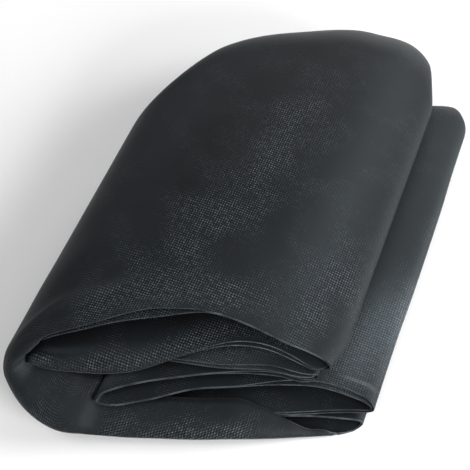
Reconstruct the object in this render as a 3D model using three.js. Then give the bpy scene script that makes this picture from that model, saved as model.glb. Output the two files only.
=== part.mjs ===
// Garden netting, one length of fine black mesh folded back and forth into a soft pack.
//
// The pack lies on its flat lowest layer. +Z is up, +Y runs along the folds from the open front to the
// rounded back, +X runs across them. Lengths are in millimetres, angles in degrees.
//
// The cloth is one sheet. Its section across the folds is a path of nearly level runs joined by round
// folds, and every point of that path carries the place of the sheet's front edge and of its back edge.
// Near both edges the sheet may roll up, down or sideways, which closes the pack as loose cloth does.

import * as THREE from 'three';

const NET_THICKNESS = 2; // the net lies doubled, with a little air between its plies
const NET_COLOUR = 0x23292b;

// The runs of the section, in the order in which the cloth passes through them.
// left, right: the ends of the run. steps: its facets. height, front, back: the middle of the cloth above
// the floor, and its front and back edges, at evenly spaced places from the left end to the right end.
const RESTING = NET_THICKNESS / 2; // the height of the middle of a layer that lies on the floor
const RUNS = [
  { name: 'under', goes: 'right', left: -52, right: 94, steps: 8, height: [6.6, 6.4, 5.9, 5.3],
    front: [-116, -113.5, -109.5, -103.5, -95, -85.2, -78.2], back: [60, 112, 130, 118] },
  { name: 'floor', goes: 'left', left: -46, right: 96, steps: 16, height: [RESTING, RESTING],
    front: [-140, -133, -125, -117, -107, -95, -82], back: [122, 156, 154, 126] },
  { name: 'top', goes: 'right', left: -50, right: 71, steps: 8, height: [48.5, 50.5, 46.5, 36.5],
    front: [-102, -90, -79, -68.5, -66.5, -67, -65.5], back: [129, 156, 172, 159] },
  { name: 'second', goes: 'left', left: -61.5, right: 71, steps: 8, height: [36, 38.2, 36.5, 29.3],
    front: [-118, -110, -95, -85, -74.4, -69.6, -70], back: [66, 115, 128, 112] },
  { name: 'third', goes: 'right', left: -61.5, right: 68.5, steps: 8, height: [31.6, 31.8, 30.3, 25.8],
    front: [-117.5, -112.5, -103, -97, -88, -78, -73], back: [66, 112, 126, 110] },
  { name: 'fourth', goes: 'left', left: -27, right: 68.5, steps: 8, height: [23, 26.4, 26.4, 22.4],
    front: [-116.3, -105.6, -97.4, -89.3, -82.7, -77.5, -73.7], back: [85, 112, 124, 110] },
  { name: 'fifth', goes: 'right', left: -27, right: 93, steps: 8, height: [18.6, 20.2, 20, 17.6],
    front: [-121, -112, -98.3, -89.2, -80, -73.3, -72], back: [85, 112, 134, 144] },
  { name: 'sixth', goes: 'left', left: -56, right: 92, steps: 8, height: [12, 11.8, 11.2, 9.4],
    front: [-112, -109, -106, -102, -97, -87.5, -76.5], back: [44, 100, 124, 128] },
  { name: 'core', goes: 'right', left: -56, right: -39, steps: 2, height: [24, 24, 23.4, 22.8],
    front: [-108, -108, -109, -110], back: [40, 42, 44, 46] },
];

// The fold that follows each run but the last. leaves, meets: how far it reaches past the run before
// it and past the run after it. front, back: the cloth's edges at its tip.
const FOLDS = {
  under: { leaves: 4, meets: 4, front: -77, back: 120 },
  floor: { leaves: 27, meets: 39, front: -127, back: 70 },
  top: { leaves: 9.5, meets: 9.5, front: -66, back: 132 },
  second: { leaves: 3.6, meets: 3.6, front: -118.5, back: 52 },
  third: { leaves: 2.5, meets: 2.5, front: -70, back: 108 },
  fourth: { leaves: 3.4, meets: 3.4, front: -121, back: 84 },
  fifth: { leaves: 10, meets: 10, front: -73, back: 132 },
  sixth: { leaves: 8, meets: 8, front: -109, back: 38 },
};

// How the edges roll. at: 0 to 1 along the run and 1 to 2 round its fold. depth: the roll's radius
// along the cloth. turn: how far it rolls. sideways, up: which way it goes, and how far for its depth.
const FRONT_ROLL = [
  { run: 'under', at: 1, depth: 0, turn: 0, sideways: 0, up: 0.7 },
  { run: 'floor', at: 0, depth: 0, turn: 0, sideways: 0, up: 0.5 },
  { run: 'floor', at: 0.08, depth: 4, turn: 150, sideways: 0, up: 0.5 },
  { run: 'floor', at: 0.2, depth: 6, turn: 160, sideways: 0, up: 0.52 },
  { run: 'floor', at: 0.32, depth: 26, turn: 168, sideways: 0, up: 0.28 },
  { run: 'floor', at: 0.91, depth: 26, turn: 168, sideways: 0, up: 0.28 },
  { run: 'floor', at: 0.95, depth: 26.5, turn: 168, sideways: 0.01, up: 0.33 },
  { run: 'floor', at: 1, depth: 27, turn: 168, sideways: 0.05, up: 0.44 },
  { run: 'floor', at: 1.07, depth: 25.5, turn: 168, sideways: 0.11, up: 0.53 },
  { run: 'floor', at: 1.14, depth: 23, turn: 168, sideways: 0.18, up: 0.57 },
  { run: 'floor', at: 1.29, depth: 18, turn: 168, sideways: 0.27, up: 0.53 },
  { run: 'floor', at: 1.5, depth: 13, turn: 168, sideways: 0.4, up: 0.44 },
  { run: 'floor', at: 1.75, depth: 6, turn: 165, sideways: 0.8, up: 0.15 },
  { run: 'top', at: 0, depth: 0, turn: 0, sideways: 0.3, up: -0.1 },
  { run: 'top', at: 0.6, depth: 30, turn: 0, sideways: -0.3, up: -0.1 },
  { run: 'top', at: 1, depth: 30, turn: 36, sideways: -0.6, up: -0.12 },
  { run: 'top', at: 1.5, depth: 30, turn: 36, sideways: -0.8, up: -0.12 },
  { run: 'second', at: 0, depth: 30, turn: 36, sideways: -0.6, up: -0.1 },
  { run: 'second', at: 0.3, depth: 30, turn: 0, sideways: -0.4, up: 0 },
  { run: 'second', at: 0.6, depth: 8, turn: 0, sideways: 0, up: -0.7 },
  { run: 'second', at: 1.3, depth: 8, turn: 0, sideways: 0, up: -0.9 },
  { run: 'second', at: 1.6, depth: 8, turn: 30, sideways: 0, up: -0.9 },
  { run: 'third', at: 0, depth: 8, turn: 58, sideways: 0, up: -0.9 },
  { run: 'third', at: 0.2, depth: 8, turn: 40, sideways: 0, up: -0.9 },
  { run: 'third', at: 0.4, depth: 8, turn: 0, sideways: 0, up: -0.9 },
  { run: 'third', at: 0.6, depth: 0, turn: 0, sideways: 0, up: 0 },
];
const BACK_ROLL = [
  { run: 'under', at: 1, depth: 0, turn: 0, sideways: 0, up: 0.5 },
  { run: 'floor', at: 0.6, depth: 0, turn: 0, sideways: 0, up: 0.5 },
  { run: 'floor', at: 1, depth: 14, turn: 90, sideways: 0.5, up: 0.5 },
  { run: 'floor', at: 1.5, depth: 28, turn: 120, sideways: 0.6, up: 0 },
  { run: 'top', at: 0, depth: 30, turn: 105, sideways: 0.2, up: -0.8 },
  { run: 'top', at: 0.5, depth: 30, turn: 100, sideways: 0, up: -1.1 },
  { run: 'top', at: 0.8, depth: 28, turn: 90, sideways: 0, up: -0.8 },
  { run: 'top', at: 1, depth: 24, turn: 90, sideways: -0.1, up: -0.5 },
  { run: 'top', at: 1.5, depth: 16, turn: 100, sideways: -0.4, up: -0.1 },
  { run: 'second', at: 0, depth: 5, turn: 60, sideways: -0.4, up: 0.1 },
  { run: 'second', at: 0.2, depth: 0, turn: 0, sideways: -0.4, up: 0.1 },
  { run: 'fifth', at: 0.7, depth: 0, turn: 0, sideways: -0.1, up: -0.3 },
  { run: 'fifth', at: 1, depth: 12, turn: 70, sideways: -0.2, up: -0.4 },
  { run: 'fifth', at: 1.5, depth: 12, turn: 70, sideways: -0.4, up: 0 },
  { run: 'sixth', at: 0, depth: 5, turn: 50, sideways: -0.2, up: 0.1 },
  { run: 'sixth', at: 0.3, depth: 0, turn: 0, sideways: -0.2, up: 0.1 },
];

// The pack is thinner behind: its height above the floor falls by SINK between these two places.
const SINK = 0.1;
const SINK_FROM = -110;
const SINK_TO = 120;

// Facets: round a small fold, round the large left fold, in a roll, and between the rolls.
const FOLD_STEPS = 5;
const LARGE_FOLD_STEPS = 14;
const LARGE_FOLD = 20; // a fold that reaches further than this is large
const ROLL_STEPS = 6;
const FLAT_STEPS = 5;
const FINE_STEPS = 8 * ROLL_STEPS; // steps in which the length of a roll is measured
const EDGE_STRIP = 14; // the least width of cloth that the facets of a roll cover
const FOLD_TIP = 1.5; // where the tip of a fold lies, counted from the start of the run before it
const TINY = 1e-6;

// A polynomial through values that stand evenly spaced from 0 to 1.
function through(values, t) {
  const last = values.length - 1;
  return values.reduce((sum, value, i) => {
    const weight = values.reduce((w, _, j) => (j === i ? w : (w * (t * last - j)) / (i - j)), 1);
    return sum + value * weight;
  }, 0);
}

// A smooth curve through knots at rising places, level at each knot that is a peak or a hollow.
function smooth(knots, place) {
  const slopes = knots.slice(1).map(({ s, value }, i) => (value - knots[i].value) / (s - knots[i].s));
  const tangent = (i) => {
    if (i === 0) return slopes[0];
    if (i === slopes.length) return slopes[i - 1];
    return slopes[i - 1] * slopes[i] <= 0 ? 0 : (slopes[i - 1] + slopes[i]) / 2;
  };
  let i = 0;
  while (i < knots.length - 2 && place >= knots[i + 1].s) i += 1;
  const span = knots[i + 1].s - knots[i].s;
  const t = THREE.MathUtils.clamp((place - knots[i].s) / span, 0, 1);
  const ease = t * t * (3 - 2 * t);
  const value = knots[i].value * (1 - ease) + knots[i + 1].value * ease;
  return value + span * t * (1 - t) * (tangent(i) * (1 - t) - tangent(i + 1) * t);
}

// A point of a run, t from its left end to its right, and the direction in which the cloth leaves there.
function runPoint(run, t) {
  return new THREE.Vector2(THREE.MathUtils.lerp(run.left, run.right, t), through(run.height, t));
}

function runDirection(run, t) {
  const along = runPoint(run, t + TINY).sub(runPoint(run, t - TINY)).normalize();
  return run.goes === 'right' ? along : along.negate();
}

const entry = (run) => (run.goes === 'right' ? 0 : 1);
const exit = (run) => 1 - entry(run);

// The fold between two runs is one cubic curve that leaves and meets them in their own directions.
function foldCurve(before, after) {
  const { leaves, meets } = FOLDS[before.name];
  const handle = 4 / 3; // a curve with such handles reaches as far as it is asked to
  const start = runPoint(before, exit(before));
  const end = runPoint(after, entry(after));
  return new THREE.CubicBezierCurve(
    start,
    start.clone().addScaledVector(runDirection(before, exit(before)), leaves * handle),
    end.clone().addScaledVector(runDirection(after, entry(after)), -meets * handle),
    end,
  );
}

// The section path as stations, each with its point, its place q and its length s along the path. A run
// and the fold after it take 2 of q, one each, so that q counts on through the whole pack.
function sectionPath() {
  const stations = [];
  RUNS.forEach((run, k) => {
    for (let i = 0; i <= run.steps; i += 1) {
      const t = i / run.steps;
      stations.push({ q: 2 * k + t, point: runPoint(run, run.goes === 'right' ? t : 1 - t) });
    }
    if (k === RUNS.length - 1) return;
    const steps = FOLDS[run.name].meets > LARGE_FOLD ? LARGE_FOLD_STEPS : FOLD_STEPS;
    const curve = foldCurve(run, RUNS[k + 1]);
    for (let i = 1; i < steps; i += 1) {
      stations.push({ q: 2 * k + 1 + i / steps, point: curve.getPoint(i / steps) });
    }
  });
  stations.forEach((station, i) => {
    station.s = i === 0 ? 0 : stations[i - 1].s + station.point.distanceTo(stations[i - 1].point);
  });
  return stations;
}

function lengthAt(stations, q) {
  const after = stations.findIndex((station) => station.q >= q - TINY);
  if (after <= 0) return stations[0].s;
  const [a, b] = [stations[after - 1], stations[after]];
  return THREE.MathUtils.mapLinear(q, a.q, b.q, a.s, b.s);
}

// The knots of the front or the back edge: one for each of a run's values and one at a fold's tip.
function edgeKnots(stations, edge) {
  return RUNS.flatMap((run, k) => {
    const values = run.goes === 'right' ? run[edge] : [...run[edge]].reverse();
    const last = values.length - 1;
    const knots = values.map((value, i) => ({ s: lengthAt(stations, 2 * k + i / last), value }));
    const fold = FOLDS[run.name];
    if (fold) knots.push({ s: lengthAt(stations, 2 * k + FOLD_TIP), value: fold[edge] });
    return knots;
  });
}

function rollKnots(stations, table, column) {
  return table.map((row) => {
    const k = RUNS.findIndex((run) => run.name === row.run);
    return { s: lengthAt(stations, 2 * k + row.at), value: row[column] };
  });
}

function rollAt(stations, table, s) {
  const value = (column) => smooth(rollKnots(stations, table, column), s);
  const turn = THREE.MathUtils.degToRad(Math.max(0, value('turn')));
  return { depth: Math.max(0, value('depth')), turn, sideways: value('sideways'), up: value('up') };
}

// A point of a rolled edge, t from where the roll begins, 0, to the cloth's free edge, 1.
function rolledPoint(station, edge, roll, inwards, t) {
  const angle = roll.turn * t;
  const reach = roll.turn > Math.PI / 2 ? 1 : Math.sin(roll.turn);
  const y = edge + inwards * roll.depth * (reach - Math.sin(angle));
  const off = roll.depth * (1 - Math.cos(angle));
  return new THREE.Vector3(station.point.x + roll.sideways * off, y, station.point.y + roll.up * off);
}

function sink(point) {
  const share = SINK * THREE.MathUtils.smoothstep(point.y, SINK_FROM, SINK_TO);
  point.z = RESTING + (point.z - RESTING) * (1 - share);
  return point;
}

// The points at the given distances along a line of points.
function walk(line, distances) {
  const lengths = [0];
  for (let i = 1; i < line.length; i += 1) lengths.push(lengths[i - 1] + line[i].distanceTo(line[i - 1]));
  return distances.map((distance) => {
    const next = lengths.findIndex((length) => length > distance + TINY);
    const i = next < 0 ? line.length - 1 : next;
    const share = (distance - lengths[i - 1]) / Math.max(TINY, lengths[i] - lengths[i - 1]);
    return line[i - 1].clone().lerp(line[i], Math.min(1, share));
  });
}

const pathLength = (line) => line.reduce((sum, p, i) => sum + (i ? p.distanceTo(line[i - 1]) : 0), 0);

// One line of the cloth, from its front edge to its back edge: a roll, a straight stretch and a roll.
// Facets are shared out so that each edge strip has ROLL_STEPS of them, whether it rolls or lies flat.
function clothLine(station, front, back, frontRoll, backRoll) {
  const frontPart = [];
  const backPart = [];
  for (let i = 0; i <= FINE_STEPS; i += 1) {
    frontPart.push(rolledPoint(station, front, frontRoll, 1, 1 - i / FINE_STEPS));
    backPart.push(rolledPoint(station, back, backRoll, -1, i / FINE_STEPS));
  }
  const line = [...frontPart, ...backPart].map(sink);
  const total = pathLength(line);
  const frontStrip = Math.max(pathLength(frontPart), EDGE_STRIP);
  const backStrip = Math.max(pathLength(backPart), EDGE_STRIP);
  const distances = [];
  for (let i = 0; i < ROLL_STEPS; i += 1) distances.push((frontStrip * i) / ROLL_STEPS);
  for (let i = 0; i < FLAT_STEPS; i += 1) {
    distances.push(THREE.MathUtils.lerp(frontStrip, total - backStrip, i / FLAT_STEPS));
  }
  for (let i = 0; i <= ROLL_STEPS; i += 1) distances.push(total - backStrip * (1 - i / ROLL_STEPS));
  return walk(line, distances);
}

// The middle of the cloth as rows of points, a row for each station of the section path.
function middleSurface() {
  const stations = sectionPath();
  const frontKnots = edgeKnots(stations, 'front');
  const backKnots = edgeKnots(stations, 'back');
  return stations.map((station) => clothLine(
    station,
    smooth(frontKnots, station.s),
    smooth(backKnots, station.s),
    rollAt(stations, FRONT_ROLL, station.s),
    rollAt(stations, BACK_ROLL, station.s),
  ));
}

// A closed solid from the middle surface: both faces lie half a thickness off it, joined by a rim.
function sheetGeometry(rows, thickness) {
  const across = rows.length;
  const along = rows[0].length;
  const { clamp } = THREE.MathUtils;
  const at = (i, j) => rows[clamp(i, 0, across - 1)][clamp(j, 0, along - 1)];
  const positions = [];
  for (const side of [0.5, -0.5]) {
    for (let i = 0; i < across; i += 1) {
      for (let j = 0; j < along; j += 1) {
        const acrossStep = at(i + 1, j).clone().sub(at(i - 1, j));
        const alongStep = at(i, j + 1).clone().sub(at(i, j - 1));
        const normal = acrossStep.cross(alongStep).normalize();
        positions.push(...at(i, j).clone().addScaledVector(normal, side * thickness).toArray());
      }
    }
  }
  const upper = (i, j) => i * along + j;
  const lower = (i, j) => across * along + i * along + j;
  const faces = [];
  const quad = (a, b, c, d) => faces.push(a, b, c, a, c, d);
  for (let i = 1; i < across; i += 1) {
    for (let j = 1; j < along; j += 1) {
      quad(upper(i - 1, j - 1), upper(i, j - 1), upper(i, j), upper(i - 1, j));
      quad(lower(i - 1, j - 1), lower(i - 1, j), lower(i, j), lower(i, j - 1));
    }
    quad(upper(i, 0), upper(i - 1, 0), lower(i - 1, 0), lower(i, 0));
    quad(upper(i - 1, along - 1), upper(i, along - 1), lower(i, along - 1), lower(i - 1, along - 1));
  }
  for (let j = 1; j < along; j += 1) {
    quad(upper(0, j - 1), upper(0, j), lower(0, j), lower(0, j - 1));
    quad(upper(across - 1, j), upper(across - 1, j - 1), lower(across - 1, j - 1), lower(across - 1, j));
  }
  const geometry = new THREE.BufferGeometry();
  geometry.setAttribute('position', new THREE.Float32BufferAttribute(positions, 3));
  geometry.setIndex(faces);
  return geometry;
}

function makeNetting() {
  const geometry = sheetGeometry(middleSurface(), NET_THICKNESS);
  const material = new THREE.MeshStandardMaterial({ color: NET_COLOUR, roughness: 0.75, metalness: 0 });
  const netting = new THREE.Mesh(geometry, material);
  netting.name = 'netting';
  return netting;
}

// The pack stands with the middle of its outline over the origin and its lowest layer on the floor.
function standOnOrigin(mesh) {
  const box = new THREE.Box3().setFromObject(mesh);
  const middle = box.getCenter(new THREE.Vector3());
  mesh.position.set(-middle.x, -middle.y, -box.min.z);
  return mesh;
}

const pack = new THREE.Group();
pack.add(standOnOrigin(makeNetting()));

export default pack;
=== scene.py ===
"""Folded garden netting: a doubled length of fine black net, folded back and forth into a soft pack.

The file is laid out as an add-on and is run as a script. The cloth is one sheet, worked out as whole
arrays from the tables of runs, folds and rolls below, in millimetres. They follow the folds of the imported
solid, and differ from it by a few millimetres at some edges, which are finer and rounder here. Places in
Blender are in metres.
"""

import math
from typing import NamedTuple

import bpy
import numpy as np
from bpy.props import FloatProperty, FloatVectorProperty, PointerProperty
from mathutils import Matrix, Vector


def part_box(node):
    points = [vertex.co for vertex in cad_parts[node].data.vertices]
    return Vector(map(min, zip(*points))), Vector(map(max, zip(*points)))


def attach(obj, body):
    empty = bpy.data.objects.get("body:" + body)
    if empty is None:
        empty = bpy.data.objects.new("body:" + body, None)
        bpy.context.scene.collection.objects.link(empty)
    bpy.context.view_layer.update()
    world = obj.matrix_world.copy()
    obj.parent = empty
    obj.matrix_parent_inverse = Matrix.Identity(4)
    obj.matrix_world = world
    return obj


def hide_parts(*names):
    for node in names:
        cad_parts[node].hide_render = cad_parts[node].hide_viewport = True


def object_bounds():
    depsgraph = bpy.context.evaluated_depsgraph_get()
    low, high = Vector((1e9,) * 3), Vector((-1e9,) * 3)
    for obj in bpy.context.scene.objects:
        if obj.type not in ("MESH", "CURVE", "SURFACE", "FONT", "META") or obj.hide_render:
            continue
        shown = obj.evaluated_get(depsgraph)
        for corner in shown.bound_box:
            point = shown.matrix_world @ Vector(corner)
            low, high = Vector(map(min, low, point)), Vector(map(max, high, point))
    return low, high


bl_info = {
    "name": "Folded garden netting",
    "version": (1, 0, 0),
    "blender": (4, 5, 0),
    "location": "3D View > Sidebar > Netting",
    "description": "Folds a doubled garden net over its packed solid and sets up a plain studio",
    "category": "Object",
}

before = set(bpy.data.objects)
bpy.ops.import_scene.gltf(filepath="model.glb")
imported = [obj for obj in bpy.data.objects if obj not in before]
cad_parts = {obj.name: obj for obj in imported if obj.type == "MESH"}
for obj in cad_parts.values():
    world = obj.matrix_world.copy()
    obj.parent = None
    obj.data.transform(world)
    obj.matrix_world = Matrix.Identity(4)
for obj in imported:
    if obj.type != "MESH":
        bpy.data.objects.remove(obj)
CAD_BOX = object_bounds()
MM = 0.001
RESTING = 1.0  # the height of the middle of the lowest layer: half of the solid's thickness


class Run(NamedTuple):
    """A nearly level run of the cloth, in steps of equal length.

    Its heights and the places of its edges stand evenly spaced from its left end to its right.
    """

    name: str
    way: int  # 1 where the cloth runs to the right, -1 to the left
    left: float
    right: float
    steps: int
    height: tuple
    front: tuple
    back: tuple


class Fold(NamedTuple):
    """The round fold after a run: how far it reaches past both runs, and the edges at its tip."""

    leaves: float
    meets: float
    front: float
    back: float
    steps: int


class Roll(NamedTuple):
    """How an edge of the cloth rolls, at a place from 0 to 1 on the run and from 1 to 2 on its fold."""

    run: str
    at: float
    depth: float
    turn: float
    sideways: float
    up: float


class Opening(NamedTuple):
    """How the plies part in front: the air between them, and how far the first ply's edge is set back.

    Below 0, it is the second ply's edge that is set back. The shine is a painted highlight: how brightly
    the cut edge shows.
    """

    run: str
    at: float
    air: float
    set_back: float
    shine: float


class SoftLine(NamedTuple):
    """A soft mark on the cloth, from one place to another, each so far in from the front edge."""

    run: str
    at: float
    inward: float
    to_run: str
    to_at: float
    to_inward: float
    width: float
    amount: float


# In the order in which the cloth passes through them.
RUNS = (
    Run("under", 1, -52, 94, 14, (6.6, 6.4, 5.9, 5.3),
        (-116, -113.5, -109.5, -103.5, -95, -85.2, -78.2), (60, 112, 130, 118)),
    Run("floor", -1, -46, 96, 42, (RESTING, RESTING),
        (-140, -133, -125, -117, -107, -95, -82), (122, 156, 154, 126)),
    Run("top", 1, -50, 71, 46, (48.5, 50.5, 46.5, 36.5),
        (-103.2, -90, -79, -68.5, -66.5, -67, -65.5), (129, 156, 172, 159)),
    Run("second", -1, -61.5, 71, 34, (36, 38.2, 36.5, 29.3),
        (-118, -111.5, -103, -90, -75, -69.6, -70), (66, 115, 128, 112)),
    Run("third", 1, -61.5, 68.5, 26, (31.6, 31.8, 30.3, 25.8),
        (-115.5, -107, -96, -91, -86, -78, -73), (66, 112, 126, 110)),
    Run("fourth", -1, -27, 68.5, 20, (23, 26.4, 26.4, 22.4),
        (-116.3, -105.6, -97.4, -89.3, -82.7, -77.5, -73.7), (85, 112, 124, 110)),
    Run("fifth", 1, -27, 93, 32, (18.6, 20.2, 20, 17.6),
        (-121, -112, -98.3, -89.2, -80, -73.3, -72), (85, 98.5, 112, 123, 130, 132, 140.5)),
    Run("sixth", -1, -56, 92, 16, (12, 11.8, 11.2, 9.4),
        (-112, -109, -106, -102, -97, -87.5, -76.5), (44, 100, 124, 128)),
    Run("core", 1, -56, -39, 3, (24, 24, 23.4, 22.8),
        (-108, -108, -109, -110), (40, 42, 44, 46)),
)
# One after each run but the last.
FOLDS = (
    Fold(4, 4, -77, 120, 8),
    Fold(27, 39, -127, 70, 48),
    Fold(9.5, 9.5, -66, 132, 14),
    Fold(7, 7, -119, 52, 14),
    Fold(2.5, 2.5, -70, 108, 8),
    Fold(3.4, 3.4, -121, 84, 10),
    Fold(10, 10, -73, 132, 14),
    Fold(8, 8, -109, 38, 8),
)
# Turns are in degrees. Sideways, to the right, and up are shares of a roll's distance off its run.
FRONT_ROLLS = (
    Roll("under", 1, 0, 0, 0, 0.7),
    Roll("floor", 0, 0, 0, 0, 0.5),
    Roll("floor", 0.08, 3, 150, 0, 0.5),
    Roll("floor", 0.16, 4.5, 165, 0, 0.5),
    Roll("floor", 0.25, 12, 168, 0, 0.36),
    Roll("floor", 0.3, 17, 168, 0, 0.32),
    Roll("floor", 0.36, 22, 168, 0, 0.29),
    Roll("floor", 0.43, 26, 168, 0, 0.28),
    Roll("floor", 0.7, 26, 168, 0, 0.28),
    Roll("floor", 0.8, 30, 168, 0, 0.26),
    Roll("floor", 0.86, 35, 168, 0, 0.235),
    Roll("floor", 0.885, 37.5, 168, 0, 0.235),
    Roll("floor", 0.907, 39.5, 168, 0, 0.262),
    Roll("floor", 0.96, 40, 168, 0.01, 0.29),
    Roll("floor", 1, 40, 168, 0.03, 0.31),
    Roll("floor", 1.125, 37, 168, 0.07, 0.34),
    Roll("floor", 1.25, 29.5, 168, 0.14, 0.365),
    Roll("floor", 1.375, 21, 168, 0.27, 0.375),
    Roll("floor", 1.5, 13.9, 168, 0.4, 0.415),
    Roll("floor", 1.625, 10.1, 168, 0.61, 0.35),
    Roll("floor", 1.75, 7.3, 168, 0.74, 0.18),
    Roll("floor", 1.87, 2.6, 150, 0.8, 0.05),
    Roll("floor", 1.95, 0.6, 60, 0.6, 0),
    Roll("top", 0, 0, 0, 0.3, -0.1),
    Roll("top", 0.6, 30, 0, -0.3, -0.1),
    Roll("top", 1, 30, 36, -0.6, -0.12),
    Roll("top", 1.5, 30, 36, -0.8, -0.12),
    Roll("second", 0, 30, 36, -0.6, -0.1),
    Roll("second", 0.3, 30, 0, -0.4, 0),
    Roll("second", 0.42, 8, 0, 0, -0.7),
    Roll("second", 0.52, 11, 50, 0, -0.75),
    Roll("second", 0.65, 14, 76, 0, -0.85),
    Roll("second", 0.76, 14, 78, 0, -0.95),
    Roll("second", 0.86, 12, 78, 0, -0.93),
    Roll("second", 1, 9, 78, 0.1, -0.72),
    Roll("second", 1.3, 8, 75, 0.5, -0.3),
    Roll("second", 1.6, 6, 60, 0.6, 0),
    Roll("second", 1.85, 3, 0, 0, -0.4),
    Roll("third", 0.06, 8, 50, 0, -0.9),
    Roll("third", 0.2, 8, 44, 0, -0.9),
    Roll("third", 0.4, 8, 0, 0, -0.9),
    Roll("third", 0.6, 0, 0, 0, 0),
)
BACK_ROLLS = (
    Roll("under", 1, 0, 0, 0, 0.5),
    Roll("floor", 0.6, 0, 0, 0, 0.5),
    Roll("floor", 1, 14, 90, 0.5, 0.5),
    Roll("floor", 1.5, 28, 120, 0.6, 0),
    Roll("top", 0, 30, 105, 0.2, -0.8),
    Roll("top", 0.5, 30, 100, 0, -1.1),
    Roll("top", 0.8, 28, 90, 0, -0.8),
    Roll("top", 1, 24, 90, -0.1, -0.5),
    Roll("top", 1.5, 16, 100, -0.4, -0.1),
    Roll("second", 0, 5, 60, -0.4, 0.1),
    Roll("second", 0.2, 0, 0, -0.4, 0.1),
    Roll("fifth", 0.7, 0, 0, -0.1, -0.3),
    Roll("fifth", 1, 12, 70, -0.2, -0.4),
    Roll("fifth", 1.5, 12, 70, -0.4, 0),
    Roll("sixth", 0, 5, 50, -0.2, 0.1),
    Roll("sixth", 0.3, 0, 0, -0.2, 0.1),
)
OPENINGS = (
    Opening("under", 0, 0, 0, 0.6),
    Opening("floor", 0.2, 0, 0, 0.5),
    Opening("floor", 0.3, 0, 0, 0),
    Opening("floor", 1.7, 0, 0, 0),
    Opening("floor", 1.9, 0.3, 0.5, 0.1),
    Opening("top", 0.12, 0.8, 2, 0.35),
    Opening("top", 0.28, 1.2, 4.5, 0.45),
    Opening("top", 0.42, 0.6, 2, 0.3),
    Opening("top", 0.52, 0, 0, 0.7),
    Opening("top", 1, 0.4, 0, 0.75),
    Opening("top", 1.5, 0.5, 0, 0.3),
    Opening("second", 0.1, 0.5, -1.4, 0.9),
    Opening("second", 0.3, 0.6, -1.8, 1),
    Opening("second", 0.4, 0.3, -0.8, 0.3),
    Opening("second", 0.5, 0.1, 0, 0),
    Opening("second", 0.62, 0, 0, 0),
    Opening("second", 1, 0, 0, 0),
    Opening("third", 0.3, 0, 0, 0),
    Opening("third", 0.6, 0.4, 1.2, 0.5),
    Opening("third", 1, 0.4, 1, 0.7),
    Opening("third", 1.5, 0.4, 0, 0.3),
    Opening("fourth", 0.2, 0.4, -1.2, 0.6),
    Opening("fourth", 0.5, 0, 0, 0.6),
    Opening("fourth", 1.5, 0, 0, 0.7),
    Opening("fifth", 0.5, 0, 0, 0.5),
    Opening("fifth", 0.75, 0.6, 2.2, 0.7),
    Opening("fifth", 1.1, 0.4, 2, 0.9),
    Opening("fifth", 1.5, 0.4, 0, 0.5),
    Opening("sixth", 0.1, 0.2, -1, 0.7),
    Opening("sixth", 0.4, 0, 0, 0.2),
    Opening("core", 1, 0, 0, 0),
)
# Ridges above 0 and troughs below it, as heights towards the first ply.
CREASES = (
    SoftLine("floor", 1.78, 21, "top", 0.15, 26, 4, 1.3),
    SoftLine("floor", 1.8, 60, "top", 0.3, 50, 14, 0.9),
    SoftLine("top", 0.2, 80, "top", 0.48, 110, 20, 1.0),
    SoftLine("top", 0.3, 30, "top", 0.55, 70, 16, -0.7),
    SoftLine("top", 0.75, 60, "top", 0.85, 180, 16, 0.9),
    SoftLine("top", 0.1, 150, "top", 0.35, 210, 24, -1.0),
    SoftLine("top", 0.62, 12, "top", 0.86, 26, 8, -0.6),
    SoftLine("second", 0.86, 10.5, "second", 1.4, 8, 1.5, 0.7),
    SoftLine("second", 0.88, 6.5, "second", 1.45, 5, 1.2, -0.6),
    SoftLine("second", 0.9, 3, "second", 1.4, 2.5, 1.4, 0.6),
    SoftLine("fifth", 0.9, 7, "fifth", 1.25, 8, 1.6, 1.5),
    SoftLine("fifth", 1.2, 60, "fifth", 1.35, 150, 9, 0.8),
)
# Where the mesh shows in full with its painted glints, partly a painted highlight where light catches the
# threads. Elsewhere the two plies fill each other's holes.
MESH_GLINTS = (
    SoftLine("top", 0.51, 165, "top", 0.42, 90, 22, 0.75),
    SoftLine("top", 0.42, 90, "top", 0.22, 26, 20, 0.7),
    SoftLine("top", 0.02, 13, "top", 0.45, 16, 12, 1.0),
    SoftLine("top", 0.5, 8, "top", 0.62, 16, 12, 0.7),
    SoftLine("top", 0.86, 5, "top", 0.95, 65, 15, 0.8),
    SoftLine("second", 0.12, 9, "second", 0.45, 8, 7, 0.9),
    SoftLine("second", 0.45, 8, "second", 0.68, 6, 7, 0.9),
    SoftLine("second", 0.75, 8, "second", 0.86, 6, 6, 0.6),
    SoftLine("second", 0.95, 5, "second", 1.35, 4, 3.5, 0.9),
    SoftLine("third", 0.3, 10, "third", 0.9, 10, 9, 0.5),
    SoftLine("floor", 0.29, 22, "floor", 0.75, 22, 11, 0.9),
    SoftLine("floor", 1.03, 44, "floor", 1.22, 36, 13, 1.0),
    SoftLine("fifth", 0.85, 10, "fifth", 1.35, 60, 22, 0.9),
)
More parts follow.
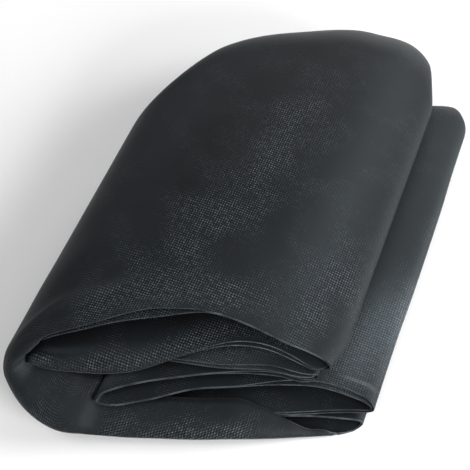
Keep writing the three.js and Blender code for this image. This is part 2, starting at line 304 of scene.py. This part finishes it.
# Painted light and shade: tone added to the net where it is to look lit, or taken from it below 0 where it
# is to look shaded.
PAINTED_LIGHT_AND_SHADE = (
    SoftLine("fifth", 0.95, 10, "fifth", 1.1, 230, 16, 0.14),
    SoftLine("fifth", 0.9, 8, "fifth", 1.2, 70, 14, 0.3),
    SoftLine("fifth", 0.9, 7, "fifth", 1.2, 8, 1.2, 0.35),
    SoftLine("floor", 1.8, 21, "top", 0.14, 26, 4, 0.05),
    SoftLine("top", 0.82, 10, "top", 0.92, 230, 18, 0.1),
    SoftLine("top", 0.25, 250, "top", 0.85, 262, 14, 0.06),
    SoftLine("top", 0.32, 180, "top", 0.25, 110, 26, -0.03),
    SoftLine("top", 0.55, 200, "top", 0.33, 50, 28, -0.09),
    SoftLine("floor", 0.92, 38, "floor", 0.98, 64, 13, -0.06),
    SoftLine("floor", 1.04, 47, "floor", 1.22, 40, 13, 0.1),
    SoftLine("floor", 1.75, 50, "floor", 1.9, 200, 20, 0.05),
    SoftLine("second", 0.72, 12, "second", 1.2, 16, 14, -0.03),
    SoftLine("second", 0.15, 30, "second", 0.7, 24, 13, -0.04),
    SoftLine("third", 0.5, 4, "third", 0.85, 8, 9, 0.12),
    SoftLine("floor", 0.93, 3, "floor", 0.91, 14, 4, -0.05),
    SoftLine("floor", 0.87, 1, "floor", 0.885, 11, 2.2, 0.3),
    SoftLine("fourth", 0.85, 8, "fourth", 1.2, 9, 7, 0.14),
    SoftLine("fourth", 1.2, 14, "fourth", 1.3, 2, 3, 0.28),
)

# The shape, in millimetres.
SINK = 0.1  # the pack is thinner behind by this share of its height, between the two places below
SINK_FROM = -110.0
SINK_TO = 120.0
FOLD_TIP = 1.5  # the tip's place, halfway round a fold
HANDLE = 4 / 3  # a cubic fold with such handles reaches as far as it is asked to
DIRECTION_STEP = 1e-6  # half the step over which a run's direction is taken
FINE_STEPS = 48  # steps of a roll before its columns are shared out
EDGE_STRIP = 14.0  # the least width of the strip along an edge that has the roll's columns
ROLL_COLUMNS = 14
FLAT_COLUMNS = 32
FLAT_CROWDING = 1.3  # above 1, the columns of the straight stretch crowd towards the front
RIM_COLUMNS = 3  # columns round the doubled back edge
OPENING_REACH = 22.0  # how far in the air between the plies reaches

# The finish. Lengths are in millimetres. A tone runs from 0, the hole colour, to 1, the thread colour.
CLOSER = 0.9  # the pitch from left to right, as a share of the pitch along the folds
PROFILE_FADE = 0.75  # where a thread's profile has fallen to 0, in widths from its middle
THREAD_TONE = 0.12  # the share of the two profiles' sum in the tone: the threads, with a painted highlight along their crowns
CROSSING_GLINT = 0.95  # the share of their product: a painted glint where the threads cross
EVEN_COVER = 0.3  # the cover of the net where the two plies fill each other's holes
FULL_COVER = 0.5  # the cover from which the net stops all the light
EDGE_BAND = (0.55, 0.2)  # the distances at which a cut edge's painted highlight begins and is full
SHOWING_RANGE = (-0.1, 1.1)  # the mesh and its painted glints come out between these two sums of the glint value and its patches
WANDER = 0.7  # how far a thread strays, in pitches
WANDER_GRAIN = 2.4

# Clouds of the finish: the size of a cloud, the range of noise that is spread out, and what it gives.
UNEVENNESS = (2.5, (0.3, 0.7), (0.3, 1.5))  # factors of the mesh's tone
PATCHES = (20, (0.3, 0.7), (-0.3, 0.3))  # added to the value that says where the painted glints show
PATCH_DETAIL = 4.0
GLINT = (12, (0.35, 0.65), (0.2, 0.88))  # factors of a cut edge's painted highlight

# The studio, in metres and watts: each lamp's name, size, power and place.
LAMPS = (
    ("key", 0.8, 24, (1.3, 0.6, 0.62)),
    ("fill", 1.4, 16, (-0.7, -0.9, 1.7)),
    ("side", 0.7, 28, (1.25, -0.6, 0.45)),
    ("back", 0.8, 9, (0.0, 1.3, 0.45)),
)
LOOKS_AT = (-0.0105, -0.017, 0.02)
FLOOR_REACH = 4.0
SENSOR_WIDTH = 36


def place(run, at):
    """Where a place on a run or on its fold lies on the path: each run and its fold take 2."""
    return 2 * [row.name for row in RUNS].index(run) + at


def through(values, t):
    """The polynomial through values that stand evenly spaced from 0 to 1, at t."""
    last = len(values) - 1
    total = np.zeros_like(t)
    for i, value in enumerate(values):
        weight = np.ones_like(t)
        for j in range(last + 1):
            if j != i:
                weight = weight * (t * last - j) / (i - j)
        total = total + value * weight
    return total


def smooth(knots, values, s):
    """A cubic Hermite curve through knots.

    Its slope at a knot is the mean of the slopes on both sides, or 0 where they don't share a sign.
    """
    knots = np.asarray(knots, float)
    values = np.asarray(values, float)
    slopes = np.diff(values) / np.diff(knots)
    tangents = np.concatenate([slopes[:1], (slopes[1:] + slopes[:-1]) / 2, slopes[-1:]])
    tangents[1:-1][slopes[:-1] * slopes[1:] <= 0] = 0
    i = np.clip(np.searchsorted(knots, s, side="right") - 1, 0, len(knots) - 2)
    span = knots[i + 1] - knots[i]
    t = np.clip((s - knots[i]) / span, 0, 1)
    ease = t * t * (3 - 2 * t)
    lean = span * t * (1 - t) * (tangents[i] * (1 - t) - tangents[i + 1] * t)
    return values[i] * (1 - ease) + values[i + 1] * ease + lean


def smoothstep(low, high, x):
    """0 below low, 1 above high, and a smooth cubic rise between them."""
    t = np.clip((x - low) / (high - low), 0, 1)
    return t * t * (3 - 2 * t)


def run_point(run, t):
    """Points (x, z) of a run, t from its left end to its right."""
    return np.stack([run.left + (run.right - run.left) * t, through(run.height, t)], axis=-1)


def run_direction(run, t):
    """The unit direction in which the cloth passes t."""
    low, high = run_point(run, np.array([t - DIRECTION_STEP, t + DIRECTION_STEP]))
    return run.way * (high - low) / np.linalg.norm(high - low)


def section():
    """The path across the folds as stations: their place q, point (x, z) and length s along the path.

    A run is sampled evenly. A fold is the cubic Bezier curve between the runs' ends whose handles
    follow the runs' directions. The length is the summed length of the steps.
    """
    q, points = [], []
    for k, run in enumerate(RUNS):
        t = np.arange(run.steps + 1) / run.steps
        q.append(2 * k + t)
        points.append(run_point(run, t if run.way > 0 else 1 - t))
        if k == len(FOLDS):
            break
        fold, after = FOLDS[k], RUNS[k + 1]
        leaving, meeting = float(run.way > 0), float(after.way < 0)
        start, end = run_point(run, np.array(leaving)), run_point(after, np.array(meeting))
        first = start + run_direction(run, leaving) * fold.leaves * HANDLE
        second = end - run_direction(after, meeting) * fold.meets * HANDLE
        t = (np.arange(1, fold.steps) / fold.steps)[:, None]
        q.append(2 * k + 1 + t[:, 0])
        leaves = (1 - t) ** 3 * start + 3 * (1 - t) ** 2 * t * first
        meets = 3 * (1 - t) * t**2 * second + t**3 * end
        points.append(leaves + meets)
    q = np.concatenate(q)
    points = np.concatenate(points)
    lengths = np.linalg.norm(np.diff(points, axis=0), axis=1)
    return q, points, np.concatenate([[0.0], np.cumsum(lengths)])


def edge_line(q, s, edge):
    """An edge at each station, smooth through the values of the runs and one at each fold's tip."""
    knots, values = [], []
    for k, run in enumerate(RUNS):
        row = getattr(run, edge)
        knots += [2 * k + i / (len(row) - 1) for i in range(len(row))]
        values += list(row if run.way > 0 else row[::-1])
        if k < len(FOLDS):
            knots.append(2 * k + FOLD_TIP)
            values.append(getattr(FOLDS[k], edge))
    return smooth(np.interp(knots, q, s), values, s)


def roll_columns(q, s, rolls):
    """Depth, turn in radians, sideways and up of an edge's roll at each station."""
    knots = np.interp([place(row.run, row.at) for row in rolls], q, s)
    depth, turn, sideways, up = (
        smooth(knots, [getattr(row, column) for row in rolls], s)
        for column in ("depth", "turn", "sideways", "up")
    )
    return np.maximum(depth, 0), np.radians(np.maximum(turn, 0)), sideways, up


def rolled(points, edge, roll, inwards, t):
    """A rolled edge as (stations, len(t), 3): t is 0 where the roll begins and 1 at the free edge.

    Seen from the side, the cloth turns through t times the roll's turn on a circle whose radius is the
    depth, and its outermost point lies on the edge line. Its distance off the run, depth times 1 less the
    cosine, goes sideways and up in the roll's own shares.
    """
    depth, turn, sideways, up = (column[:, None] for column in roll)
    angle = turn * t[None, :]
    reach = np.where(turn > math.pi / 2, 1.0, np.sin(turn))
    y = edge[:, None] + inwards * depth * (reach - np.sin(angle))
    off = depth * (1 - np.cos(angle))
    return np.stack([points[:, :1] + sideways * off, y, points[:, 1:] + up * off], axis=-1)


def line_lengths(lines):
    """Summed lengths along each line of points, from 0 at its start."""
    steps = np.linalg.norm(np.diff(lines, axis=1), axis=2)
    return np.concatenate([np.zeros((len(lines), 1)), np.cumsum(steps, axis=1)], axis=1)


def walk(lines, distances):
    """Points at the given distances along many lines at once.

    Each line's lengths are shifted by its own multiple of one long step, so that a single interpolation
    over all the lines put end to end serves every row.
    """
    lengths = line_lengths(lines)
    shift = np.arange(len(lines))[:, None] * (2 * lengths.max())
    found = [
        np.interp((distances + shift).ravel(), (lengths + shift).ravel(), lines[..., axis].ravel())
        for axis in range(3)
    ]
    return np.stack(found, axis=-1).reshape(*distances.shape, 3)


def middle_surface():
    """The middle of the doubled cloth as (stations, columns, 3), with q, s and the distance across.

    Every station's line runs from the front edge to the back: a roll, a straight stretch and a roll. It
    sinks by the share SINK of its height, in a smooth step from SINK_FROM to SINK_TO. Its columns are
    shared out so that each edge strip has ROLL_COLUMNS of them, whether it rolls or not.
    """
    q, points, s = section()
    t = np.linspace(0, 1, FINE_STEPS + 1)
    front = rolled(points, edge_line(q, s, "front"), roll_columns(q, s, FRONT_ROLLS), 1, t[::-1])
    back = rolled(points, edge_line(q, s, "back"), roll_columns(q, s, BACK_ROLLS), -1, t)
    front_strip = np.maximum(line_lengths(front)[:, -1:], EDGE_STRIP)
    back_strip = np.maximum(line_lengths(back)[:, -1:], EDGE_STRIP)
    lines = np.concatenate([front, back], axis=1)
    share = SINK * smoothstep(SINK_FROM, SINK_TO, lines[..., 1])
    lines[..., 2] = RESTING + (lines[..., 2] - RESTING) * (1 - share)
    total = line_lengths(lines)[:, -1:]
    roll_share = np.arange(ROLL_COLUMNS) / ROLL_COLUMNS
    flat_share = (np.arange(FLAT_COLUMNS) / FLAT_COLUMNS) ** FLAT_CROWDING
    across = np.concatenate(
        [
            front_strip * roll_share,
            front_strip + (total - back_strip - front_strip) * flat_share,
            total - back_strip * (1 - np.append(roll_share, 1.0)),
        ],
        axis=1,
    )
    return walk(lines, across), q, s, across


def surface_normals(surface):
    """Unit normals of a grid of points, from the cross product of its two central differences."""
    normal = np.cross(np.gradient(surface, axis=0), np.gradient(surface, axis=1))
    return normal / np.linalg.norm(normal, axis=-1, keepdims=True)


def soft_lines(table, q, s, inward):
    """The sum of a table's soft lines over the cloth, as (stations, columns).

    Each is its amount times exp(-d squared), d being the distance to the line in widths, where lengths
    are measured along the cloth. It fades along the line to half at either end, as 1 less half a fourth
    power.
    """
    total = np.zeros_like(inward)
    for line in table:
        start = np.array([np.interp(place(line.run, line.at), q, s), line.inward])
        end = np.array([np.interp(place(line.to_run, line.to_at), q, s), line.to_inward])
        span = end - start
        along = s[:, None] - start[0], inward - start[1]
        t = np.clip((along[0] * span[0] + along[1] * span[1]) / span.dot(span), 0, 1)
        away = np.hypot(along[0] - t * span[0], along[1] - t * span[1]) / line.width
        total += line.amount * np.exp(-(away**2)) * (1 - (2 * t - 1) ** 4 / 2)
    return total


def doubled_sheet(shape):
    """The net as one sheet that lies double.

    Returns its points, its cloth coordinates, the values that its finish varies with, and its width at
    each station. The first ply lies half the gap over the middle surface, from the front to the back.
    There the net turns round a half circle as wide as the gap, and the second ply returns half the gap
    below it. In front the gap grows by the air of OPENINGS, which fades inwards as exp(-squared
    distance), and one ply's edge is set back by sliding its edge strip in along the cloth. Every array
    but the last is (stations, columns).
    """
    middle, q, s, inward = middle_surface()
    middle = middle + surface_normals(middle) * soft_lines(CREASES, q, s, inward)[..., None]
    normal = surface_normals(middle)
    along = np.gradient(middle, axis=1)
    along = along / np.linalg.norm(along, axis=-1, keepdims=True)
    knots = np.interp([place(row.run, row.at) for row in OPENINGS], q, s)
    air = np.maximum(smooth(knots, [row.air for row in OPENINGS], s), 0)[:, None]
    set_back = smooth(knots, [row.set_back for row in OPENINGS], s)[:, None]
    half = shape.ply_gap / MM / 2
    spread = half + air / 2 * np.exp(-((inward / OPENING_REACH) ** 2))
    slide = np.clip(1 - np.arange(middle.shape[1]) / ROLL_COLUMNS, 0, 1)
    plies, edges = [], []
    for side in (1, -1):
        ply = middle + side * normal * spread[..., None]
        ply = walk(ply, line_lengths(ply) + np.maximum(side * set_back, 0) * slide)
        plies.append(ply)
        edges.append(line_lengths(ply))
    angle = np.linspace(0, math.pi, RIM_COLUMNS + 2)[1:-1][None, :, None]
    end, end_normal, end_along = middle[:, -1:], normal[:, -1:], along[:, -1:]
    rim = end + half * (np.cos(angle) * end_normal + np.sin(angle) * end_along)
    points = np.concatenate([plies[0], rim, plies[1][:, ::-1]], axis=1)

    def both_plies(first, second):
        rim_values = np.repeat(first[:, -1:], RIM_COLUMNS, axis=1)
        return np.concatenate([first, rim_values, second[:, ::-1]], axis=1)

    depth = inward - inward[:, ROLL_COLUMNS, None] + middle[:, ROLL_COLUMNS, None, 1]
    cloth = np.stack([np.broadcast_to(s[:, None], points.shape[:2]), both_plies(depth, depth)], axis=-1)
    from_end = np.minimum(s, s[-1] - s)[:, None]
    from_edge = np.minimum(both_plies(*edges), from_end)
    # These are where the mesh's painted glints show, and the painted light and shade.
    showing, lighter = (soft_lines(table, q, s, inward) for table in (MESH_GLINTS, PAINTED_LIGHT_AND_SHADE))
    shine = np.clip(smooth(knots, [row.shine for row in OPENINGS], s), 0, 1)[:, None]
    finish = {
        "showing": both_plies(showing, showing),
        "lighter": both_plies(lighter, lighter),
        "from_edge": from_edge * MM,
        "shine": np.broadcast_to(shine, from_edge.shape),
    }
    return points, cloth, finish, line_lengths(points)[:, -1]


def grid_mesh(name, points, uv, attributes):
    """A mesh of quads over a grid of points, with a UV map in metres of cloth and named values."""
    rows, columns = points.shape[:2]
    index = np.arange(rows * columns).reshape(rows, columns)
    quads = np.stack([index[:-1, :-1], index[1:, :-1], index[1:, 1:], index[:-1, 1:]], axis=-1)
    quads = quads.reshape(-1, 4)
    mesh = bpy.data.meshes.new(name)
    mesh.vertices.add(rows * columns)
    mesh.vertices.foreach_set("co", points.astype(np.float32).ravel())
    mesh.loops.add(quads.size)
    mesh.loops.foreach_set("vertex_index", quads.astype(np.int32).ravel())
    mesh.polygons.add(len(quads))
    mesh.polygons.foreach_set("loop_start", np.arange(0, quads.size, 4, dtype=np.int32))
    layer = mesh.uv_layers.new(name="Cloth")
    layer.data.foreach_set("uv", uv.reshape(-1, 2)[quads.ravel()].astype(np.float32).ravel())
    for key, values in attributes.items():
        attribute = mesh.attributes.new(key, "FLOAT", "POINT")
        attribute.data.foreach_set("value", values.astype(np.float32).ravel())
    mesh.polygons.foreach_set("use_smooth", np.ones(len(quads), bool))
    mesh.update()
    mesh.validate()
    return mesh


class NettingShape(bpy.types.PropertyGroup):
    """Sizes of the net that the folds don't give."""

    ply_gap: FloatProperty(
        name="Ply gap",
        description="Distance between the middles of the two plies of the doubled net",
        default=0.9 * MM,
        min=0.4 * MM,
        max=2 * MM,
        precision=4,
        subtype="DISTANCE",
        unit="LENGTH",
    )
    thickness: FloatProperty(
        name="Net thickness",
        description="Thickness of one ply",
        default=0.25 * MM,
        min=0.1 * MM,
        max=0.6 * MM,
        precision=4,
        subtype="DISTANCE",
        unit="LENGTH",
    )


class NettingFinish(bpy.types.PropertyGroup):
    """Colours and weave of the net."""

    pitch: FloatProperty(
        name="Mesh pitch",
        description="Distance from one thread of the net to the next",
        default=1.5 * MM,
        min=0.5 * MM,
        max=4 * MM,
        precision=4,
        subtype="DISTANCE",
        unit="LENGTH",
    )
    thread: FloatProperty(
        name="Thread share",
        description="Width of a thread as a share of the pitch",
        default=0.42,
        min=0.1,
        max=0.9,
        subtype="FACTOR",
    )
    # The hole cover makes each hole a dark film of painted shade.
    hole_cover: FloatProperty(
        name="Hole cover",
        description="How much of the light a hole of the doubled net stops",
        default=0.75,
        min=0,
        max=1,
        subtype="FACTOR",
    )
    thread_colour: FloatVectorProperty(
        name="Thread colour",
        description="Colour of the threads where they catch the light",
        default=(0.092, 0.110, 0.124),
        min=0,
        max=1,
        size=3,
        subtype="COLOR",
    )
    # Painted shade: the dark in the holes stands for the shaded plies seen through them.
    hole_shade_colour: FloatVectorProperty(
        name="Hole colour",
        description="Colour of the dark between the threads",
        default=(0.0012, 0.002, 0.003),
        min=0,
        max=1,
        size=3,
        subtype="COLOR",
    )
    even_tone: FloatProperty(
        name="Even tone",
        description="Tone of the net where the threads of one ply fill the holes of the other",
        default=0.045,
        min=0,
        max=1,
        subtype="FACTOR",
    )


class StudioLook(bpy.types.PropertyGroup):
    """Camera and light of the plain studio."""

    azimuth: FloatProperty(
        name="Azimuth",
        description="Turn of the camera about the pack, 0 where it looks along +Y",
        default=math.radians(20.5),
        subtype="ANGLE",
        unit="ROTATION",
    )
    elevation: FloatProperty(
        name="Elevation",
        description="Height of the camera above the floor as an angle",
        default=math.radians(55),
        subtype="ANGLE",
        unit="ROTATION",
    )
    distance: FloatProperty(
        name="Distance",
        description="Distance from the camera to the point that it looks at",
        default=0.62,
        subtype="DISTANCE",
        unit="LENGTH",
    )
    lens: FloatProperty(
        name="Lens",
        description="Focal length of the camera",
        default=85,
        subtype="DISTANCE_CAMERA",
        unit="CAMERA",
    )


def net_material(finish):
    """The net's two sets of threads, brightest where they cross.

    A thread's profile falls from 1 at its middle to 0 at its side. The tone is a share of the two
    profiles' sum, the threads with a painted highlight along their crowns, and a share of their product,
    which only a crossing has, a painted glint, made uneven by a fine cloud. Where the piece's value for
    the glints is high the mesh shows in full with these painted glints; where it is low the threads of the
    two plies fill each other's holes, and the tone is even. The piece's painted light and shade is added
    to either. Near a cut edge, which the value "from_edge" tells, the net is closed, and as light as
    "shine" says, a painted highlight.
    """
    material = bpy.data.materials.new("black_net")
    material.use_nodes = True
    nodes, links = material.node_tree.nodes, material.node_tree.links
    nodes.clear()

    def feed(socket, value):
        """Links an output to a socket, or sets a constant on it."""
        if isinstance(value, bpy.types.NodeSocket):
            links.new(value, socket)
        else:
            socket.default_value = value

    def maths(operation, *values):
        node = nodes.new("ShaderNodeMath")
        node.operation = operation
        for socket, value in zip(node.inputs, values):
            feed(socket, value)
        return node.outputs[0]

    def spread(value, low, high, to_low=0.0, to_high=1.0):
        """A smooth step from one range of values to another."""
        node = nodes.new("ShaderNodeMapRange")
        node.interpolation_type = "SMOOTHSTEP"
        for socket, entry in zip(node.inputs, (value, low, high, to_low, to_high)):
            feed(socket, entry)
        return node.outputs[0]

    def mix(factor, low, high):
        node = nodes.new("ShaderNodeMix")
        node.data_type = "RGBA"
        feed(node.inputs["Factor"], factor)
        for socket, colour in zip(node.inputs[6:8], (low, high)):
            feed(socket, colour)
        return node.outputs[2]

    def value_of(name):
        node = nodes.new("ShaderNodeAttribute")
        node.attribute_name = name
        return node.outputs["Fac"]

    cloth = nodes.new("ShaderNodeUVMap")
    cloth.uv_map = "Cloth"

    def noise(size, detail=2.0):
        """A noise over the cloth, whose clouds are about as large as the size in millimetres."""
        node = nodes.new("ShaderNodeTexNoise")
        node.inputs["Scale"].default_value = 1 / (size * MM)
        node.inputs["Detail"].default_value = detail
        links.new(cloth.outputs[0], node.inputs["Vector"])
        return node

    def cloud(size, between, gives, detail=2.0):
        return spread(noise(size, detail).outputs["Fac"], *between, *gives)

    wander = nodes.new("ShaderNodeVectorMath")
    wander.operation = "MULTIPLY_ADD"
    links.new(noise(WANDER_GRAIN).outputs["Color"], wander.inputs[0])
    wander.inputs[1].default_value = (WANDER * finish.pitch, WANDER * finish.pitch, 0)
    links.new(cloth.outputs[0], wander.inputs[2])
    split = nodes.new("ShaderNodeSeparateXYZ")
    links.new(wander.outputs[0], split.inputs[0])
    profiles = []
    for axis, pitch in enumerate((CLOSER * finish.pitch, finish.pitch)):
        away = maths("PINGPONG", maths("DIVIDE", split.outputs[axis], pitch), 0.5)
        profiles.append(spread(away, 0.0, finish.thread * PROFILE_FADE, 1.0, 0.0))
    # The threads' crowns carry a painted highlight, and their crossings a brighter painted glint.
    threads = maths("MULTIPLY", maths("ADD", *profiles), THREAD_TONE)
    crossing_glints = maths("MULTIPLY", maths("MULTIPLY", *profiles), CROSSING_GLINT)
    tone = maths("MULTIPLY", maths("ADD", threads, crossing_glints), cloud(*UNEVENNESS))
    # Where the mesh's painted glints show.
    showing = spread(maths("ADD", value_of("showing"), cloud(*PATCHES, PATCH_DETAIL)), *SHOWING_RANGE)

    def where_showing(even, value):
        return maths("ADD", even, maths("MULTIPLY", showing, maths("SUBTRACT", value, even)))

    # The painted light and shade is added to the tone here.
    mixed = maths("ADD", where_showing(finish.even_tone, tone), value_of("lighter"))
    cover = where_showing(EVEN_COVER, maths("MAXIMUM", *profiles))
    # The cut edge's painted highlight.
    shine = maths("MULTIPLY", value_of("shine"), cloud(*GLINT))
    edge = spread(value_of("from_edge"), EDGE_BAND[0] * MM, EDGE_BAND[1] * MM)
    net_tone = maths("MAXIMUM", mixed, maths("MULTIPLY", edge, shine))
    colour = mix(net_tone, (*finish.hole_shade_colour, 1), (*finish.thread_colour, 1))
    alpha = spread(maths("MAXIMUM", cover, edge), 0.0, FULL_COVER, finish.hole_cover, 1.0)
    shader = nodes.new("ShaderNodeBsdfPrincipled")
    links.new(colour, shader.inputs["Base Color"])
    links.new(alpha, shader.inputs["Alpha"])
    shader.inputs["Roughness"].default_value = 0.6
    shader.inputs["Specular IOR Level"].default_value = 0.24
    shader.inputs["Specular Tint"].default_value = (0.86, 0.95, 1, 1)
    shader.inputs["Sheen Weight"].default_value = 0.08
    shader.inputs["Sheen Roughness"].default_value = 0.4
    bump = nodes.new("ShaderNodeBump")
    bump.inputs["Distance"].default_value = 0.12 * MM
    bump.inputs["Strength"].default_value = 0.5
    links.new(net_tone, bump.inputs["Height"])
    links.new(bump.outputs[0], shader.inputs["Normal"])
    output = nodes.new("ShaderNodeOutputMaterial")
    links.new(shader.outputs[0], output.inputs[0])
    return material


class NETTING_OT_fold_net(bpy.types.Operator):
    """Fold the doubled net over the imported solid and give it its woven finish"""

    bl_idname = "netting.fold_net"
    bl_label = "Fold the net"

    def execute(self, context):
        scene = context.scene
        points, cloth, finish, widths = doubled_sheet(scene.netting_shape)
        # The sheet's box has its middle over the solid's, and its lowest point lies on the floor.
        low, high = (np.array(corner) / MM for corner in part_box("netting"))
        shift = (low + high) / 2 - (points.min(axis=(0, 1)) + points.max(axis=(0, 1))) / 2
        shift[2] = scene.netting_shape.thickness / MM / 2 - points[..., 2].min()
        mesh = grid_mesh("folded_net", (points + shift) * MM, cloth * MM, finish)
        net = bpy.data.objects.new("folded_net", mesh)
        scene.collection.objects.link(net)
        net.data.materials.append(net_material(scene.netting_finish))
        solid = net.modifiers.new("thickness", "SOLIDIFY")
        solid.thickness = scene.netting_shape.thickness
        solid.offset = 0
        solid.use_even_offset = False
        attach(net, "root")
        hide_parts("netting")
        return {"FINISHED"}


def area_light(name, size, power, position, target):
    """A square area light that faces its target."""
    light = bpy.data.lights.new(name, "AREA")
    light.shape = "SQUARE"
    light.size = size
    light.energy = power
    lamp = bpy.data.objects.new(name, light)
    lamp.location = position
    lamp.rotation_euler = (Vector(target) - Vector(position)).to_track_quat("-Z", "Y").to_euler()
    bpy.context.scene.collection.objects.link(lamp)


class NETTING_OT_set_studio(bpy.types.Operator):
    """Set up the floor, the soft lights and the camera"""

    bl_idname = "netting.set_studio"
    bl_label = "Set up the studio"

    def execute(self, context):
        scene = context.scene
        look = scene.netting_studio
        scene.view_settings.view_transform = "Standard"
        floor_mesh = bpy.data.meshes.new("floor")
        corners = [(x * FLOOR_REACH, y * FLOOR_REACH, 0) for x, y in ((-1, -1), (1, -1), (1, 1), (-1, 1))]
        floor_mesh.from_pydata(corners, [], [(0, 1, 2, 3)])
        floor = bpy.data.objects.new("floor", floor_mesh)
        scene.collection.objects.link(floor)
        paint = bpy.data.materials.new("pale_floor")
        paint.use_nodes = True
        shader = paint.node_tree.nodes["Principled BSDF"]
        shader.inputs["Base Color"].default_value = (0.9, 0.9, 0.9, 1)
        shader.inputs["Roughness"].default_value = 0.9
        floor_mesh.materials.append(paint)
        world = bpy.data.worlds.new("studio")
        world.use_nodes = True
        background = world.node_tree.nodes["Background"]
        background.inputs["Color"].default_value = (1, 1, 1, 1)
        background.inputs["Strength"].default_value = 0.2
        scene.world = world
        low, high = CAD_BOX
        for lamp in LAMPS:
            area_light(*lamp, target=(low + high) / 2)
        back = Vector((
            math.sin(look.azimuth) * math.cos(look.elevation),
            -math.cos(look.azimuth) * math.cos(look.elevation),
            math.sin(look.elevation),
        ))
        camera = bpy.data.objects.new("camera", bpy.data.cameras.new("camera"))
        camera.data.lens = look.lens
        camera.data.sensor_width = SENSOR_WIDTH
        camera.location = Vector(LOOKS_AT) + back * look.distance
        camera.rotation_mode = "QUATERNION"
        camera.rotation_quaternion = (-back).to_track_quat("-Z", "Y")
        scene.collection.objects.link(camera)
        scene.camera = camera
        return {"FINISHED"}


class NETTING_PT_panel(bpy.types.Panel):
    """Shows the net's sizes, its finish and the studio, with the operators that build them"""

    bl_label = "Folded garden netting"
    bl_space_type = "VIEW_3D"
    bl_region_type = "UI"
    bl_category = "Netting"

    def draw(self, context):
        scene = context.scene
        for group, operator in (
            (scene.netting_shape, NETTING_OT_fold_net),
            (scene.netting_finish, None),
            (scene.netting_studio, NETTING_OT_set_studio),
        ):
            box = self.layout.box()
            for name in group.__annotations__:
                box.prop(group, name)
            if operator is not None:
                box.operator(operator.bl_idname)


CLASSES = (
    NettingShape,
    NettingFinish,
    StudioLook,
    NETTING_OT_fold_net,
    NETTING_OT_set_studio,
    NETTING_PT_panel,
)


def register():
    for cls in CLASSES:
        bpy.utils.register_class(cls)
    bpy.types.Scene.netting_shape = PointerProperty(type=NettingShape)
    bpy.types.Scene.netting_finish = PointerProperty(type=NettingFinish)
    bpy.types.Scene.netting_studio = PointerProperty(type=StudioLook)


def unregister():
    del bpy.types.Scene.netting_shape
    del bpy.types.Scene.netting_finish
    del bpy.types.Scene.netting_studio
    for cls in reversed(CLASSES):
        bpy.utils.unregister_class(cls)


def main():
    register()
    bpy.ops.netting.fold_net()
    bpy.ops.netting.set_studio()


if __name__ == "__main__":
    main()
